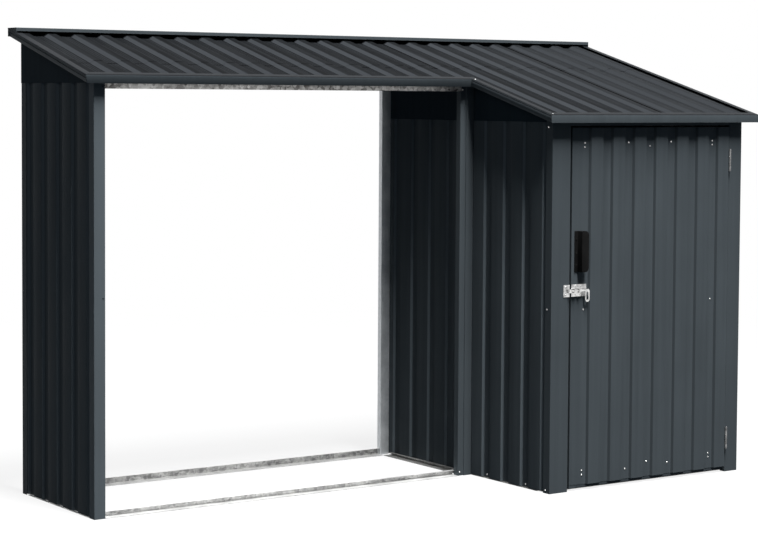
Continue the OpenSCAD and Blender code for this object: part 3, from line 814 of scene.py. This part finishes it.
def make_seam_shadow_lines():
    work = bmesh.new()
    upper_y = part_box("trim_back")[1].y - RIDGE_FLANGE / 2
    shed_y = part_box("fascia_shed_front")[0].y + FLANGE
    for places, width in ((STRIP_X, STRIP_WIDTH), (SEAM_X, SEAM_WIDTH)):
        for x in places:
            add_bead(work, x, (CROSS_LAP_Y, upper_y), LAP_RISE, STRIP_SECTION, width, STRIP_HEIGHT)
        add_bead(work, places[-1], (shed_y, CROSS_LAP_Y), 0, STRIP_SECTION, width, STRIP_HEIGHT)
    make_piece("roof_seam_shadow_lines", work, "store", "black_plastic", seam_shadow_paint)


def make_flutes():
    upper_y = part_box("trim_back")[1].y - RIDGE_FLANGE / 2
    roof_flutes("roof_flutes_upper", range(ROOF_RIBS), CROSS_LAP_Y + FLUTE_START, upper_y, LAP_RISE)
    log_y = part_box("fascia_log_front")[0].y
    roof_flutes("roof_flutes_log", range(LOG_RIBS), log_y + FLANGE, CROSS_LAP_Y, 0)
    shed_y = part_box("fascia_shed_front")[0].y
    roof_flutes("roof_flutes_shed", range(LOG_RIBS, ROOF_RIBS), shed_y + FLANGE, CROSS_LAP_Y, 0)


# Studio: a soft key high up in front, a weak panel at the left, and a faint even fill
KEY_AIM = Vector((-0.55, 0, 0.7))
KEY_HEIGHT = math.radians(68)
KEY_DISTANCE = 14.0
KEY_SIZE = (2.6, 7.0)
KEY_POWER = 4700.0
SIDE_AIM = Vector((-0.3, 0, 0.8))
SIDE_AZIMUTH = math.radians(-60)
SIDE_HEIGHT = math.radians(28)
SIDE_DISTANCE = 9.0
SIDE_SIZE = (5.0, 4.0)
SIDE_POWER = 41.0
FILL = (0.018, 0.026, 0.036, 1)
FLOOR_HALF = 30.0
FLOOR_Z = -0.001
FLOOR_GLOW = 0.86
FLOOR_SHOWN = (0.12, 0.12, 0.12, 1)
FLOOR_BOUNCE = (0.04, 0.05, 0.06, 1)
FLOOR_NEAR = 2.5
FLOOR_FAR = 6.0


def make_panel(name, aim, azimuth, height, distance, size, power):
    """A soft rectangular light that faces aim, from an azimuth counted from the front to the right."""
    toward = Vector((
        math.sin(azimuth) * math.cos(height),
        -math.cos(azimuth) * math.cos(height),
        math.sin(height),
    ))
    data = bpy.data.lights.new(name, "AREA")
    data.shape = "RECTANGLE"
    data.size, data.size_y = size
    data.energy = power
    lamp = bpy.data.objects.new(name, data)
    lamp.location = aim + toward * distance
    lamp.rotation_euler = toward.to_track_quat("Z", "Y").to_euler()
    bpy.context.scene.collection.objects.link(lamp)


def make_lights():
    make_panel("key", KEY_AIM, 0.0, KEY_HEIGHT, KEY_DISTANCE, KEY_SIZE, KEY_POWER)
    make_panel("side", SIDE_AIM, SIDE_AZIMUTH, SIDE_HEIGHT, SIDE_DISTANCE, SIDE_SIZE, SIDE_POWER)


def seen_directly(tree):
    """1 for rays from the camera, mirrors and glass, 0 for rays that only carry light."""
    path = tree.nodes.new("ShaderNodeLightPath")
    total = path.outputs["Is Camera Ray"]
    for kind in ("Is Glossy Ray", "Is Transmission Ray"):
        either = tree.nodes.new("ShaderNodeMath")
        either.operation = "MAXIMUM"
        tree.links.new(total, either.inputs[0])
        tree.links.new(path.outputs[kind], either.inputs[1])
        total = either.outputs[0]
    return total


def make_world():
    world = bpy.data.worlds.new("studio")
    world.use_nodes = True
    bpy.context.scene.world = world
    tree = world.node_tree
    fill = tree.nodes["Background"]
    fill.inputs["Color"].default_value = FILL
    white = tree.nodes.new("ShaderNodeBackground")
    white.inputs["Color"].default_value = (1, 1, 1, 1)
    mix = tree.nodes.new("ShaderNodeMixShader")
    tree.links.new(seen_directly(tree), mix.inputs[0])
    tree.links.new(fill.outputs[0], mix.inputs[1])
    tree.links.new(white.outputs[0], mix.inputs[2])
    tree.links.new(mix.outputs[0], tree.nodes["World Output"].inputs["Surface"])


def floor_material():
    """Pale floor that shows the object's shadow near it and white further off."""
    material = bpy.data.materials.new("studio_floor")
    material.use_nodes = True
    tree = material.node_tree
    tree.nodes.remove(tree.nodes["Principled BSDF"])
    bounce = tree.nodes.new("ShaderNodeBsdfDiffuse")
    bounce.inputs["Color"].default_value = FLOOR_BOUNCE
    shown = tree.nodes.new("ShaderNodeBsdfDiffuse")
    shown.inputs["Color"].default_value = FLOOR_SHOWN
    glow = tree.nodes.new("ShaderNodeEmission")
    glow.inputs["Strength"].default_value = FLOOR_GLOW
    pale = tree.nodes.new("ShaderNodeAddShader")
    tree.links.new(shown.outputs[0], pale.inputs[0])
    tree.links.new(glow.outputs[0], pale.inputs[1])
    white = tree.nodes.new("ShaderNodeEmission")
    place = tree.nodes.new("ShaderNodeTexCoord")
    distance = tree.nodes.new("ShaderNodeVectorMath")
    distance.operation = "LENGTH"
    tree.links.new(place.outputs["Object"], distance.inputs[0])
    fade = tree.nodes.new("ShaderNodeMapRange")
    fade.inputs["From Min"].default_value = FLOOR_NEAR
    fade.inputs["From Max"].default_value = FLOOR_FAR
    tree.links.new(distance.outputs["Value"], fade.inputs["Value"])
    faded = tree.nodes.new("ShaderNodeMixShader")
    tree.links.new(fade.outputs["Result"], faded.inputs[0])
    tree.links.new(pale.outputs[0], faded.inputs[1])
    tree.links.new(white.outputs[0], faded.inputs[2])
    mix = tree.nodes.new("ShaderNodeMixShader")
    tree.links.new(seen_directly(tree), mix.inputs[0])
    tree.links.new(bounce.outputs[0], mix.inputs[1])
    tree.links.new(faded.outputs[0], mix.inputs[2])
    tree.links.new(mix.outputs[0], tree.nodes["Material Output"].inputs["Surface"])
    return material


def make_floor():
    mesh = bpy.data.meshes.new("floor")
    corners = [(-1, -1), (1, -1), (1, 1), (-1, 1)]
    mesh.from_pydata([(x * FLOOR_HALF, y * FLOOR_HALF, FLOOR_Z) for x, y in corners], [], [(0, 1, 2, 3)])
    mesh.materials.append(floor_material())
    floor = bpy.data.objects.new("floor", mesh)
    bpy.context.scene.collection.objects.link(floor)


bpy.context.scene.view_settings.view_transform = "Standard"
make_camera()
make_world()
make_lights()
make_floor()
round_the_folds()
make_trims()
make_door_screws()
make_wall_screws()
make_frame_screws()
make_hardware_screws()
make_flutes()
make_seam_shadow_lines()
